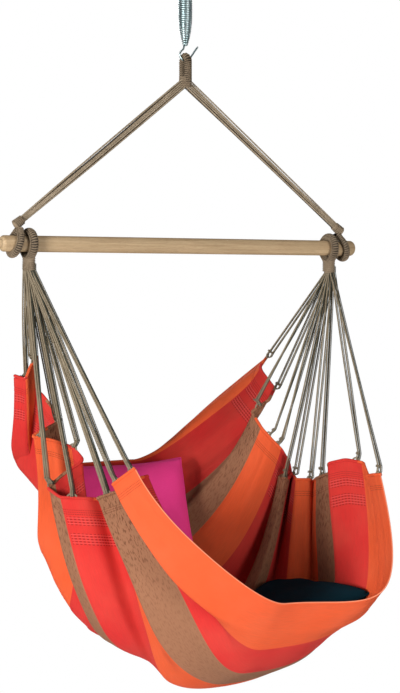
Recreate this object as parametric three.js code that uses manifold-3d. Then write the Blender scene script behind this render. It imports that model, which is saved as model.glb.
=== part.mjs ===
// Hammock chair: a striped cloth sling on cotton clew cords, a wooden spreader bar and a steel spring.
// Millimetres, +Z up, +X along the bar, -Y to the front. The origin is the centre of the spring's upper eye.
import * as THREE from 'three';
import Module from 'manifold-3d';
import { mergeVertices } from 'three/addons/utils/BufferGeometryUtils.js';

const wasm = await Module();
wasm.setup();

// Fits
const seatGap = 0.3;
const strandGap = 0.45;
const eyeGap = 0.1;
const hemGap = 0.25;
const windingGap = 0.6;
const hookClearance = 0.6;
const weldDistance = 1e-4;

// Spring of steel wire
const wireRadius = 2.4;
const springEyeRadius = 13;
const coilTop = -24;
const coilLength = 190;
const coilTurns = 33.5;
const coilMaxRadius = 16.6;
const coilEndRadius = 3.9;
const coilBulgePower = 2.6;
const hookReach = 40;
const hookDrop = 40;

// Rope loop on the hook
const loopRopeRadius = 10;
const loopBoreRadius = wireRadius + hookClearance;
const loopHeight = 96;
const throatFaceWidth = 30;
const throatDepth = 36;

// Cords
const cordRadius = 2.1;
const strandPitch = 2 * cordRadius + strandGap;
const strandSpreadPitch = 6.2;

// Spreader bar
const barLength = 1100;
const barRadius = 19;
const barDrop = 740;
const barEndRound = 9;
const grooveDepth = 0.8;
const grooveFlatShare = 0.8;

// Rope eyes round the bar
const suspensionInset = 42;
const suspensionX = barLength / 2 - suspensionInset;
const suspensionRopeRadius = 9.5;
const suspensionThroatInset = 19;
const suspensionThroatX = suspensionX - suspensionThroatInset;
const suspensionThroatRise = 60;
const suspensionLean = suspensionThroatInset / suspensionThroatRise;
const clewInset = 81;
const clewX = barLength / 2 - clewInset;
const clewRopeRadius = 11.5;
const clewThroatDrop = 62;
const suspensionThroatRadius = 12.5;
const clewThroatRadiusX = 14;
const clewThroatRadiusY = 18;
const throatLength = 24;
const throatOverlapShare = 0.8;
const whippingRadius = 1.8;

// Cloth and what hangs on it
const clothWidth = 1171;
const clothThickness = 2;
const hemHalfSpan = 430;
const hemReach = 373;
const hemDrop = 630;
const sagReach = 451;
const sagDrop = 1146;
const hemCordRadius = 2.5;
const hemLoopRise = 9;
const hemLoopHalfWidth = 11;
const hemLoopTopShare = 0.45;
const cordStem = 5;
const cushionWidth = 420;
const cushionCrown = 120;
const cushionEdge = 14;
const sideDrawShare = 0.07;
const seatLiftShare = 1 / 14;
const seatCushionLift = cushionWidth * seatLiftShare;
const backLiftShare = 1 / 7;
const backCushionLift = cushionWidth * backLiftShare;
const cushionSteps = 12;

// Facets
const wireSides = 8;
const cordSides = 6;
const ropeSides = 12;
const ropeSteps = 16;
const throatSides = 20;
const barSides = 32;
const windingSteps = 12;
const coilSteps = 8;
const coilSides = 5;
const clothColumns = 22;

const wireMaterial = steel(0x6f8286, 0.35);
const cordMaterial = cloth(0xb7a07f, 0.95);
const woodMaterial = cloth(0xb5946a, 0.55);
const slingMaterial = cloth(0xf0603a, 0.95);
const pinkMaterial = cloth(0xe03a80, 0.9);
const tealMaterial = cloth(0x06303a, 0.9);

function steel(colour, roughness) {
  return new THREE.MeshStandardMaterial({ color: colour, roughness, metalness: 1 });
}

function cloth(colour, roughness) {
  return new THREE.MeshStandardMaterial({ color: colour, roughness, metalness: 0 });
}

const group = new THREE.Group();

function piece(name, geometry, material) {
  const mesh = new THREE.Mesh(geometry, material);
  mesh.name = name;
  group.add(mesh);
  return mesh;
}

const vec = (x, y, z) => new THREE.Vector3(x, y, z);
const { lerp, clamp } = THREE.MathUtils;

// Builds a closed mesh from rings of points that follow each other
function skin(rings) {
  const sides = rings[0].length;
  const position = rings.flat().flatMap((p) => [p.x, p.y, p.z]);
  const index = [];
  const last = (rings.length - 1) * sides;
  for (let a = 0; a < last; a += sides) {
    const b = a + sides;
    for (let j = 0; j < sides; j++) {
      const k = (j + 1) % sides;
      index.push(a + j, a + k, b + k, a + j, b + k, b + j);
    }
  }
  for (let j = 1; j < sides - 1; j++) index.push(0, j + 1, j, last, last + j, last + j + 1);
  const geometry = new THREE.BufferGeometry();
  geometry.setAttribute('position', new THREE.Float32BufferAttribute(position, 3));
  geometry.setIndex(index);
  return geometry;
}

// A round tube along points
function tube(points, radius, sides) {
  const at = (i) => points[clamp(i, 0, points.length - 1)];
  const rings = [];
  let normal = null;
  for (let i = 0; i < points.length; i++) {
    const before = at(i).clone().sub(at(i - 1)).normalize();
    const after = at(i + 1).clone().sub(at(i)).normalize();
    const tangent = before.clone().add(after).normalize();
    if (!normal) {
      const helper = Math.abs(tangent.x) < Math.SQRT1_2 ? vec(1, 0, 0) : vec(0, 1, 0);
      normal = helper.sub(tangent.clone().multiplyScalar(helper.dot(tangent))).normalize();
    }
    normal.sub(tangent.clone().multiplyScalar(normal.dot(tangent))).normalize();
    const side = tangent.clone().cross(normal);
    const ring = [];
    for (let j = 0; j < sides; j++) {
      const angle = (2 * Math.PI * j) / sides;
      const out = normal.clone().multiplyScalar(Math.cos(angle) * radius);
      ring.push(out.addScaledVector(side, Math.sin(angle) * radius).add(at(i)));
    }
    rings.push(ring);
  }
  return skin(rings);
}

function solid(geometry) {
  const plain = new THREE.BufferGeometry();
  plain.setAttribute('position', geometry.getAttribute('position').clone());
  if (geometry.index) plain.setIndex(geometry.index.clone());
  const merged = mergeVertices(plain, weldDistance);
  return new wasm.Manifold(new wasm.Mesh({
    numProp: 3,
    vertProperties: new Float32Array(merged.getAttribute('position').array),
    triVerts: new Uint32Array(merged.index.array),
  }));
}

function geometryOf(manifold) {
  const mesh = manifold.getMesh();
  const geometry = new THREE.BufferGeometry();
  geometry.setAttribute('position', new THREE.Float32BufferAttribute(mesh.vertProperties, 3));
  geometry.setIndex(Array.from(mesh.triVerts));
  return geometry;
}

// The least gap between the turns of a wound tube, measured on its points
function printLeastGap(label, points, stepsPerTurn, radius) {
  let least = Infinity;
  for (let i = 0; i + stepsPerTurn / 2 < points.length; i++) {
    for (let j = i + stepsPerTurn / 2; j <= i + 2 * stepsPerTurn && j < points.length; j++) {
      least = Math.min(least, points[i].distanceTo(points[j]));
    }
  }
  console.log(`${label}: least gap between turns ${(least - 2 * radius).toFixed(2)} mm`);
}

// Spring: an upper eye, a barrel-shaped coil and an open hook, all of one wire
const coilBottom = coilTop - coilLength;
const hookBottom = coilBottom - hookDrop;
const wireSeat = wireRadius + seatGap;

function springEye() {
  const startAngle = THREE.MathUtils.degToRad(-75);
  const sweep = THREE.MathUtils.degToRad(330);
  const steps = 24;
  const points = [vec(coilEndRadius, 0, coilTop + wireSeat)];
  for (let i = 0; i <= steps; i++) {
    const angle = startAngle + (sweep * i) / steps;
    points.push(vec(springEyeRadius * Math.cos(angle), 0, springEyeRadius * Math.sin(angle)));
  }
  return tube(points, wireRadius, wireSides);
}

function coilPoint(share) {
  const bulge = 1 - Math.abs(2 * share - 1) ** coilBulgePower;
  const radius = lerp(coilEndRadius, coilMaxRadius, bulge);
  const angle = 2 * Math.PI * coilTurns * share;
  return vec(radius * Math.cos(angle), radius * Math.sin(angle), coilTop - coilLength * share);
}

function springCoil() {
  const count = Math.round(coilTurns * coilSteps);
  const points = [];
  for (let i = 0; i <= count; i++) points.push(coilPoint(i / count));
  printLeastGap('spring coil', points, coilSteps, wireRadius);
  return tube(points, wireRadius, coilSides);
}

// The hook leaves the coil's end on one side, goes under the loop and ends in an open tip
const hookShares = [[-0.14, -0.2], [-0.36, -0.42], [-0.42, -0.64], [-0.28, -0.88], [0, -1],
  [0.22, -0.93], [0.45, -0.7], [0.72, -0.34], [1, 0]];
const hookSteps = 26;

function springHook() {
  const start = coilPoint(1);
  const outline = hookShares.map(([x, z]) => vec(x * hookReach, 0, coilBottom + z * hookDrop));
  const curve = new THREE.CatmullRomCurve3([vec(start.x, 0, coilBottom - wireSeat), ...outline]);
  return tube(curve.getPoints(hookSteps), wireRadius, wireSides);
}

// The rope loop hangs on the hook. Its throat ends in two faces square to the strands.
const loopArcRadius = loopBoreRadius + loopRopeRadius;
const loopArcCentre = hookBottom - (loopBoreRadius - wireSeat);
const loopBottom = loopArcCentre + loopArcRadius + loopRopeRadius - loopHeight;
const suspensionThroatZ = -barDrop + suspensionThroatRise;
const strandDirection = vec(suspensionThroatX, 0, suspensionThroatZ - loopBottom).normalize();
const faceDirection = vec(-strandDirection.z, 0, strandDirection.x);
const faceMiddle = faceDirection.clone().multiplyScalar(throatFaceWidth / 2).add(vec(0, 0, loopBottom));

function topLoop() {
  const arcSteps = 10;
  const legEnd = loopBottom + throatFaceWidth;
  const points = [vec(0, -loopArcRadius, legEnd)];
  for (let i = 0; i <= arcSteps; i++) {
    const angle = Math.PI - (Math.PI * i) / arcSteps;
    points.push(vec(0, loopArcRadius * Math.cos(angle), loopArcCentre + loopArcRadius * Math.sin(angle)));
  }
  points.push(vec(0, loopArcRadius, legEnd));
  const rope = solid(tube(points, loopRopeRadius, ropeSides));
  const corner = faceDirection.clone().multiplyScalar(throatFaceWidth);
  const outline = new THREE.Shape([
    new THREE.Vector2(0, loopBottom),
    new THREE.Vector2(corner.x, loopBottom + corner.z),
    new THREE.Vector2(loopRopeRadius, legEnd + corner.x),
    new THREE.Vector2(-loopRopeRadius, legEnd + corner.x),
    new THREE.Vector2(-corner.x, loopBottom + corner.z),
  ]);
  const block = new THREE.ExtrudeGeometry(outline, { depth: throatDepth, bevelEnabled: false });
  block.rotateX(Math.PI / 2);
  block.translate(0, throatDepth / 2, 0);
  return geometryOf(rope.add(solid(block)));
}

// Cord wound round a throat, one unbroken tube
const windingPitch = 2 * whippingRadius + windingGap;

function winding(turns, radiusX, radiusY) {
  const points = [];
  const outside = 1 / Math.cos(Math.PI / windingSteps);
  for (let i = 0; i <= turns * windingSteps; i++) {
    const angle = (2 * Math.PI * i) / windingSteps;
    const height = windingPitch * (i / windingSteps - turns / 2);
    points.push(vec(radiusX * outside * Math.cos(angle), radiusY * outside * Math.sin(angle), height));
  }
  printLeastGap('winding', points, windingSteps, whippingRadius);
  return tube(points, whippingRadius, coilSides);
}

// Strands: two rows of four from the loop's throat to the eye's throat on each side
const strandColumns = 4;
const strandRows = 2;

function strand(side, column, row) {
  const across = column - (strandColumns - 1) / 2;
  const deep = row - (strandRows - 1) / 2;
  const mirror = vec(side, 1, 1);
  const top = faceMiddle.clone().addScaledVector(strandDirection, seatGap);
  top.addScaledVector(faceDirection, across * strandSpreadPitch).add(vec(0, deep * strandSpreadPitch, 0));
  const end = vec(suspensionThroatX, 0, suspensionThroatZ);
  end.addScaledVector(faceDirection, across * strandPitch).add(vec(0, deep * strandPitch, 0));
  return tube([top.multiply(mirror), end.multiply(mirror)], cordRadius, wireSides);
}

// A rope eye goes round the bar and closes in a throat that stands off by a reach
function eyePath(ropeRadius, reach, lean) {
  const seated = barRadius - grooveDepth + eyeGap + ropeRadius;
  const tangentAngle = Math.acos(seated / reach);
  const halfStep = (Math.PI - tangentAngle) / ropeSteps;
  const round = seated / Math.cos(halfStep);
  const points = [];
  const place = (y, z) => points.push(vec(lean * z, y, z));
  place(ropeRadius / 2, reach - ropeRadius / 2);
  for (let i = 0; i <= ropeSteps; i++) {
    const angle = tangentAngle + 2 * halfStep * i;
    place(round * Math.sin(angle), round * Math.cos(angle));
  }
  place(-ropeRadius / 2, reach - ropeRadius / 2);
  return points;
}

// The throat is a short round body whose flat end meets the cords
function throat(radiusX, radiusY, length) {
  const geometry = new THREE.CylinderGeometry(1, 1, length, throatSides);
  geometry.rotateX(Math.PI / 2);
  geometry.scale(radiusX, radiusY, 1);
  return geometry;
}

function suspensionEye(side) {
  const reach = suspensionThroatRise - throatLength * throatOverlapShare;
  const rope = tube(eyePath(suspensionRopeRadius, reach, -suspensionLean), suspensionRopeRadius, ropeSides);
  rope.translate(suspensionX, 0, -barDrop);
  const closing = throat(suspensionThroatRadius, suspensionThroatRadius, throatLength);
  placeOnStrands(closing, throatLength / 2 + seatGap);
  const eye = geometryOf(solid(rope).add(solid(closing)));
  return side > 0 ? eye : mirrored(eye);
}

function placeOnStrands(geometry, distance) {
  const turn = new THREE.Quaternion().setFromUnitVectors(vec(0, 0, -1), strandDirection);
  geometry.applyQuaternion(turn);
  const place = vec(suspensionThroatX, 0, suspensionThroatZ).addScaledVector(strandDirection, distance);
  geometry.translate(place.x, place.y, place.z);
}

function mirrored(geometry) {
  const flipped = geometry.clone();
  flipped.scale(-1, 1, 1);
  const index = flipped.index.array;
  for (let i = 0; i < index.length; i += 3) [index[i], index[i + 1]] = [index[i + 1], index[i]];
  return flipped;
}

function clewEye(side) {
  const reach = clewThroatDrop - throatLength * throatOverlapShare;
  const rope = tube(eyePath(clewRopeRadius, reach, 0), clewRopeRadius, ropeSides);
  rope.rotateX(Math.PI);
  rope.translate(side * clewX, 0, -barDrop);
  const closing = throat(clewThroatRadiusX, clewThroatRadiusY, throatLength);
  closing.translate(side * clewX, 0, -barDrop - clewThroatDrop + throatLength / 2);
  return geometryOf(solid(rope).add(solid(closing)));
}

// Spreader bar, turned with rounded ends and shallow grooves under the eyes
function spreaderBar() {
  const half = barLength / 2;
  const profile = [[0, -half]];
  const roundSteps = 4;
  for (let i = 0; i <= roundSteps; i++) {
    const angle = (Math.PI / 2) * (i / roundSteps);
    const inward = barEndRound * (1 - Math.sin(angle));
    profile.push([barRadius - inward, -half + barEndRound * (1 - Math.cos(angle))]);
  }
  const leanWidth = barRadius * suspensionLean;
  const grooves = [[-suspensionX, suspensionRopeRadius + leanWidth], [-clewX, clewRopeRadius]];
  for (const [centre, width] of grooves) {
    const flat = width * grooveFlatShare;
    profile.push([barRadius, centre - width], [barRadius - grooveDepth, centre - flat]);
    profile.push([barRadius - grooveDepth, centre + flat], [barRadius, centre + width]);
  }
  const other = profile.map(([r, x]) => [r, -x]).reverse();
  const outline = [...profile, ...other].map(([r, x]) => new THREE.Vector2(r, x));
  const bar = new THREE.LatheGeometry(outline, barSides);
  bar.rotateZ(-Math.PI / 2);
  bar.translate(0, 0, -barDrop);
  return bar;
}

// Hems, front to back: place across the cloth, then out, back and down, as shares of the hem's sizes
const leftHemShares = [
  [0, 0.863, -0.879, 0.887], [0.073, 0.937, -0.775, 0.951], [0.171, 0.728, -0.732, 0.908],
  [0.289, 0.858, -0.517, 1], [0.346, 0.802, -0.515, 0.994], [0.504, 0.972, -0.075, 0.973],
  [0.602, 0.893, -0.172, 0.873], [0.726, 1.005, 0.064, 0.781], [0.798, 0.909, 0.123, 0.714],
  [0.918, 0.979, 0.469, 0.544], [1, 0.837, 0.595, 0.443],
];
const rightHemShares = [
  [0, 0.835, -1, 0.949], [0.124, 1, -0.528, 1], [0.202, 0.928, -0.338, 0.94], [0.291, 0.958, -0.153, 0.995],
  [0.372, 0.742, -0.212, 0.997], [0.479, 0.849, 0.078, 0.962], [0.535, 0.722, -0.012, 0.985],
  [0.634, 0.772, 0.169, 0.876], [0.732, 0.621, 0.161, 0.816], [0.821, 0.756, 0.327, 0.679],
  [0.88, 0.902, 0.442, 0.624], [0.949, 0.758, 0.399, 0.543], [1, 0.909, 0.488, 0.481],
];
// The cloth's middle, front edge to back edge: back and down, as shares of the sag
const sagShares = [[-1, 0.776], [-0.922, 0.818], [-0.67, 0.933], [-0.492, 0.966], [-0.202, 1],
  [0.051, 0.949], [0.384, 0.887], [0.488, 0.778], [0.543, 0.638], [0.561, 0.497]];
// How far each thread runs straight out of the middle and out of the hem: front, middle, back
const pullShares = {
  left: { middle: [0.23, 0.69, 0.81], hem: [0.39, 0.41, 0.54] },
  right: { middle: [0.62, 0.61, 0.1], hem: [0.9, 0.5, 0.16] },
};

const sagCurve = new THREE.CatmullRomCurve3(
  sagShares.map(([y, z]) => vec(0, y * sagReach, -barDrop - z * sagDrop)), false, 'centripetal');
sagCurve.arcLengthDivisions = 400;

function hemPoint(side, across) {
  const table = side < 0 ? leftHemShares : rightHemShares;
  let i = 0;
  while (i < table.length - 2 && across > table[i + 1][0]) i++;
  const local = (across - table[i][0]) / (table[i + 1][0] - table[i][0]);
  const [x, y, z] = [1, 2, 3].map((k) => lerp(table[i][k], table[i + 1][k], local));
  return vec(side * x * hemHalfSpan, y * hemReach, -barDrop - z * hemDrop);
}

function pull(list, across) {
  const half = Math.floor(Math.min(across * 2, 1));
  return lerp(list[half], list[half + 1], across * 2 - half);
}

// One thread of the cloth from its middle (0) to the hem (1) on one side
function clothPoint(side, across, along) {
  const middle = sagCurve.getPointAt(across);
  const hem = hemPoint(side, across);
  const shares = side < 0 ? pullShares.left : pullShares.right;
  const throatPlace = vec(side * clewX, 0, -barDrop - clewThroatDrop);
  const cordDirection = throatPlace.sub(hem).normalize();
  const out = side * Math.abs(hem.x) * pull(shares.middle, across);
  const first = middle.clone().add(vec(out, 0, 0));
  const back = pull(shares.hem, across) * hem.distanceTo(middle);
  const second = hem.clone().addScaledVector(cordDirection, -back);
  return new THREE.CubicBezierCurve3(middle, first, second, hem).getPoint(along);
}

// A place on the cloth from its left hem (-1) to its right hem (1)
function clothAt(across, along) {
  return clothPoint(along < 0 ? -1 : 1, across, Math.abs(along));
}

// The cloth's facing at a place, towards the sitter
const probeShare = 0.004;

function clothFacing(across, along) {
  const here = clothAt(across, along);
  const before = here.clone().sub(clothAt(Math.max(across - probeShare, 0), along)).normalize();
  const after = clothAt(Math.min(across + probeShare, 1), along).sub(here).normalize();
  const acrossStep = before.add(after);
  const left = Math.max(along - probeShare, -1);
  const right = Math.min(along + probeShare, 1);
  const alongStep = clothAt(across, right).sub(clothAt(across, left));
  return alongStep.cross(acrossStep).normalize();
}

// A closed solid between two offset layers of a patch of the cloth
function layered(acrossList, alongList, place) {
  const rows = acrossList.length;
  const columns = alongList.length;
  const position = [];
  for (const face of [0, 1]) {
    for (const across of acrossList) {
      for (const along of alongList) position.push(...place(across, along, face).toArray());
    }
  }
  const id = (face, i, j) => (face * rows + i) * columns + j;
  const index = [];
  const quad = (a, b, c, d) => index.push(a, b, c, a, c, d);
  for (let i = 0; i + 1 < rows; i++) {
    for (let j = 0; j + 1 < columns; j++) {
      quad(id(1, i, j), id(1, i, j + 1), id(1, i + 1, j + 1), id(1, i + 1, j));
      quad(id(0, i, j), id(0, i + 1, j), id(0, i + 1, j + 1), id(0, i, j + 1));
    }
    quad(id(0, i, 0), id(1, i, 0), id(1, i + 1, 0), id(0, i + 1, 0));
    const end = columns - 1;
    quad(id(1, i, end), id(0, i, end), id(0, i + 1, end), id(1, i + 1, end));
  }
  for (let j = 0; j + 1 < columns; j++) {
    quad(id(1, 0, j), id(0, 0, j), id(0, 0, j + 1), id(1, 0, j + 1));
    const end = rows - 1;
    quad(id(0, end, j), id(1, end, j), id(1, end, j + 1), id(0, end, j + 1));
  }
  const geometry = new THREE.BufferGeometry();
  geometry.setAttribute('position', new THREE.Float32BufferAttribute(position, 3));
  geometry.setIndex(index);
  return geometry;
}

function spaced(from, to, count) {
  return Array.from({ length: count + 1 }, (_, i) => lerp(from, to, i / count));
}

// Rows between the folds, and the least share between two rows
const betweenShares = [0.04, 0.45, 0.76];
const leastRowShare = 0.012;

function clothLayer(thickness) {
  const folds = [...leftHemShares, ...rightHemShares].map((row) => row[0]);
  const sorted = [...new Set([...folds, ...betweenShares])].sort((a, b) => a - b);
  const last = sorted.length - 1;
  const across = sorted.filter((u, i) => i === 0 || i === last || u - sorted[i - 1] > leastRowShare);
  return layered(across, spaced(-1, 1, clothColumns), (u, t, face) =>
    clothAt(u, t).addScaledVector(clothFacing(u, t), (face - 0.5) * thickness));
}

// A cushion: full in the middle, thin at the seams and drawn in along its sides. It lies on a patch of the
// cloth between two places across and along, and is cut to the cloth with the seat's gap.
function cushion(patchShares, lift) {
  const [low, high] = patchShares.across;
  const [left, right] = patchShares.along;
  const corners = [clothAt(low, left), clothAt(low, right), clothAt(high, left), clothAt(high, right)];
  const centre = corners.reduce((sum, c) => sum.add(c), vec(0, 0, 0)).multiplyScalar(1 / corners.length);
  const alongAxis = corners[1].clone().sub(corners[0]).add(corners[3]).sub(corners[2]).normalize();
  const acrossAxis = corners[2].clone().sub(corners[0]).add(corners[3]).sub(corners[1]);
  const facing = alongAxis.clone().cross(acrossAxis).normalize();
  acrossAxis.copy(facing).cross(alongAxis);
  const steps = spaced(-1, 1, cushionSteps);
  const pillow = layered(steps, steps, (v, u, face) => {
    const fullness = Math.sqrt((1 - u ** 4) * (1 - v ** 4));
    const thick = (face - 0.5) * lerp(cushionEdge, cushionCrown, fullness);
    const x = (u * cushionWidth * (1 - sideDrawShare * (1 - v ** 2))) / 2;
    const y = (v * cushionWidth * (1 - sideDrawShare * (1 - u ** 2))) / 2;
    const place = centre.clone().addScaledVector(alongAxis, x).addScaledVector(acrossAxis, y);
    return place.addScaledVector(facing, lift + thick);
  });
  const cutter = solid(clothLayer(clothThickness + 3 * seatGap));
  const parts = solid(pillow).subtract(cutter).decompose();
  parts.sort((p, q) => q.volume() - p.volume());
  return geometryOf(parts[0]);
}

// Hem cords: a cord along each hem that rises in a small loop where a clew cord holds it
const leftHoldShares = [0.012, 0.062, 0.265, 0.385, 0.46, 0.532, 0.635, 0.71, 0.79, 0.9, 0.988];
const rightHoldShares = [0.022, 0.14, 0.27, 0.335, 0.41, 0.51, 0.66, 0.705, 0.798, 0.868, 0.988];
const leastStopShare = 0.1;
const leastMitre = 0.4;
const hemCordSeat = hemCordRadius + clothThickness / 2 + hemGap;

// The hem's run at a place, the way off the cloth towards the cords, and the cord's seat, which stands
// off further in a fold
function hemFrame(side, across) {
  const here = hemPoint(side, across);
  const before = here.clone().sub(hemPoint(side, Math.max(across - probeShare, 0))).normalize();
  const after = hemPoint(side, Math.min(across + probeShare, 1)).sub(here).normalize();
  const mitre = Math.max(Math.sqrt((1 + before.dot(after)) / 2), leastMitre);
  const run = before.add(after).normalize();
  const up = vec(side * clewX, 0, -barDrop - clewThroatDrop).sub(hemPoint(side, across));
  up.addScaledVector(run, -up.dot(run)).normalize();
  return { base: here.addScaledVector(up, hemCordSeat / mitre), up, run };
}

function hemCord(side) {
  const holds = side < 0 ? leftHoldShares : rightHoldShares;
  const table = side < 0 ? leftHemShares : rightHemShares;
  const half = hemLoopHalfWidth / clothWidth;
  const riseAt = (u) => {
    const away = Math.min(...holds.map((hold) => Math.abs(u - hold)));
    return clamp((half - away) / (half - hemLoopTopShare * half), 0, 1);
  };
  const stops = table.map((row) => row[0]);
  for (const hold of holds) {
    const edge = hemLoopTopShare * half;
    stops.push(hold - half, hold - edge, hold + edge, hold + half);
  }
  const inside = stops.map((u) => clamp(u, 0, 1)).sort((a, b) => a - b);
  const kept = inside.filter((u, i) => i === 0 || u - inside[i - 1] > leastStopShare * half);
  const points = kept.map((u) => {
    const { base, up } = hemFrame(side, u);
    return base.addScaledVector(up, riseAt(u) * hemLoopRise);
  });
  return tube(points, hemCordRadius, cordSides);
}

// Clew cords: each goes down from the throat, round the hem cord and up again
const bundleColumns = 4;

function clewCord(side, hold, order) {
  const { base, up, run } = hemFrame(side, hold);
  const centre = base.addScaledVector(up, hemLoopRise);
  const sideways = up.clone().cross(run).normalize();
  if (sideways.x < 0) sideways.negate();
  const bendSteps = 6;
  const bend = (hemCordRadius + seatGap + cordRadius) / Math.cos(Math.PI / (2 * bendSteps));
  const row = Math.floor((2 * order) / bundleColumns);
  const first = (2 * order) % bundleColumns;
  const bundleRows = Math.ceil((2 * leftHoldShares.length) / bundleColumns);
  const top = (column) => vec(
    side * clewX + (column - (bundleColumns - 1) / 2) * strandPitch,
    (row - (bundleRows - 1) / 2) * strandPitch,
    -barDrop - clewThroatDrop - seatGap);
  const stem = vec(0, 0, -cordStem);
  const points = [top(first), top(first).add(stem)];
  for (let i = 0; i <= bendSteps; i++) {
    const angle = (Math.PI * i) / bendSteps;
    const out = sideways.clone().multiplyScalar(-Math.cos(angle) * bend);
    points.push(out.addScaledVector(up, -Math.sin(angle) * bend).add(centre));
  }
  points.push(top(first + 1).add(stem), top(first + 1));
  return tube(points, cordRadius, cordSides);
}

// Holds sorted from front to back, and across within each pair, so that the cords fan out without crossing
function fanOrder(side, holds) {
  const places = holds.map((hold, i) => ({ i, hold, at: hemPoint(side, hold) }));
  places.sort((a, b) => a.at.y - b.at.y);
  for (let i = 0; i + 1 < places.length; i += 2) {
    if (places[i].at.x > places[i + 1].at.x) [places[i], places[i + 1]] = [places[i + 1], places[i]];
  }
  return places;
}

piece('spring_top_eye', springEye(), wireMaterial);
piece('spring_coil', springCoil(), wireMaterial);
piece('spring_hook', springHook(), wireMaterial);
piece('top_loop', topLoop(), cordMaterial);
piece('spreader_bar', spreaderBar(), woodMaterial);

const throatTurns = 3;
const windingHeight = throatTurns * windingPitch + 2 * whippingRadius;
for (const [side, label] of [[-1, 'left'], [1, 'right']]) {
  piece(`suspension_eye_${label}`, suspensionEye(side), cordMaterial);
  piece(`clew_eye_${label}`, clewEye(side), cordMaterial);

  const wrapX = clewThroatRadiusX + whippingRadius + seatGap;
  const wrapY = clewThroatRadiusY + whippingRadius + seatGap;
  const clewWhipping = winding(throatTurns, wrapX, wrapY);
  clewWhipping.translate(side * clewX, 0, -barDrop - clewThroatDrop + windingHeight / 2);
  piece(`clew_whipping_${label}`, clewWhipping, cordMaterial);

  for (let row = 0; row < strandRows; row++) {
    for (let column = 0; column < strandColumns; column++) {
      const number = row * strandColumns + column + 1;
      piece(`strand_${label}_${number}`, strand(side, column, row), cordMaterial);
    }
  }
  const holds = side < 0 ? leftHoldShares : rightHoldShares;
  piece(`hem_cord_${label}`, hemCord(side), cordMaterial);
  fanOrder(side, holds).forEach(({ i, hold }, order) => {
    piece(`clew_cord_${label}_${i + 1}`, clewCord(side, hold, order), cordMaterial);
  });
}

piece('sling', clothLayer(clothThickness), slingMaterial);
const seatPatchShares = { across: [0.12, 0.46], along: [-0.05, 0.55] };
const backPatchShares = { across: [0.64, 0.93], along: [-0.46, 0.26] };
piece('seat_cushion', cushion(seatPatchShares, seatCushionLift), tealMaterial);
piece('back_cushion', cushion(backPatchShares, backCushionLift), pinkMaterial);

export default group;
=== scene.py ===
"""Looks of a hammock chair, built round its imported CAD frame: spring, rope loop, strands, bar, clews, striped
cloth and two loose cushions. Metres, +Z up, +X along the bar, -Y front, from the spring's upper eye."""

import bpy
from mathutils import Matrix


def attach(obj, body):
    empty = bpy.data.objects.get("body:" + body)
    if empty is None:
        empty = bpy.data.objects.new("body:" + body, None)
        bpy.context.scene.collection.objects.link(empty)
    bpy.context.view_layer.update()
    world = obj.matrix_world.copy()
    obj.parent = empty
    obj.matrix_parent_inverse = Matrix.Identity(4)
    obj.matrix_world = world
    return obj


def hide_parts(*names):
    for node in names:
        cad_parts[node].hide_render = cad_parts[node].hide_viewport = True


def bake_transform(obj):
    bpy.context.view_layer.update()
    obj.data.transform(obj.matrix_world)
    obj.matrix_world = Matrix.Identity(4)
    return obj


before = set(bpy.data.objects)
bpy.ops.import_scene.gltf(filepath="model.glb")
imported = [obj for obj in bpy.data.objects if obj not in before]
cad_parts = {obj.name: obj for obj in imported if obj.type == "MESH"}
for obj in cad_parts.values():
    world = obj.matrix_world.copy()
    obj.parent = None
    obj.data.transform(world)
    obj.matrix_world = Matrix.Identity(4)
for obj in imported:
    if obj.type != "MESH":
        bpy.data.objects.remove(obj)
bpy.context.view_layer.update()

import random
from math import acos, atan2, cos, exp, pi, radians, sin, sqrt, tau

import bpy
import numpy as np
from mathutils import Quaternion, Vector, noise
from mathutils.bvhtree import BVHTree

# Camera. The photograph is taken from the chair's left front, level, a little below the bar, from about six
# metres away, so the camera stands there and its frame is shifted to where the photograph was cut.
bar_drop = 0.74
camera_azimuth = radians(33)
camera_distance, camera_below_bar = 6.0, 0.134
camera_clip_end = 60
focal_pixels = 2283
frame_width, frame_height = 400, 693
picture_centre = (185.2, 297)
sensor_width = 36

scene = bpy.context.scene
camera_data = bpy.data.cameras.new("photo_camera")
camera = bpy.data.objects.new("photo_camera", camera_data)
scene.collection.objects.link(camera)
camera.location = (-camera_distance * sin(camera_azimuth), -camera_distance * cos(camera_azimuth),
                   -bar_drop - camera_below_bar)
camera.rotation_euler = (radians(90), 0, -camera_azimuth)
camera_data.sensor_width = sensor_width
camera_data.lens = sensor_width * focal_pixels / frame_height
camera_data.shift_x = (frame_width / 2 - picture_centre[0]) / frame_height
camera_data.shift_y = (picture_centre[1] - frame_height / 2) / frame_height
camera_data.clip_end = camera_clip_end
scene.camera = camera
bpy.ops.object.select_all(action="DESELECT")

# Strands. On each side ten cotton cords run from the wound throat of the top loop down to the rope eye at the
# bar's end, five in front and five behind them, whose cotton is painted dark as shade. They are laid cords of
# three yarns, hauled tight by the weight, each a little out of line.
both_sides = ((-1, "left"), (1, "right"))
cord_radius, cord_sides = 0.0024, 9
cord_yarns, yarn_lobe, yarn_width = 3, 0.24, 0.0016
cord_lay, cord_step = 0.02, 0.0026
loop_bottom = -0.3273
strand_count, strand_steps, cad_strands = 10, 24, 8
strand_spread_top, strand_spread_end = 0.0255, 0.0165
strand_depths = (0.0024, -0.0024)
strand_bow = 0.0035
throat_face_width, throat_embed = 0.03, 0.012
suspension_x, suspension_rise, suspension_inset = 0.508, 0.06, 0.019
suspension_throat = Vector((suspension_x - suspension_inset, 0, -bar_drop + suspension_rise))


def distances_along(line):
    return np.concatenate([[0], np.cumsum(np.linalg.norm(np.diff(line, axis=0), axis=1))])


def places_on(line, run, at):
    """The places on a line at some distances, where run has its own points' distances"""
    return np.stack([np.interp(at, run, line[:, k]) for k in range(3)], axis=1)


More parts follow.
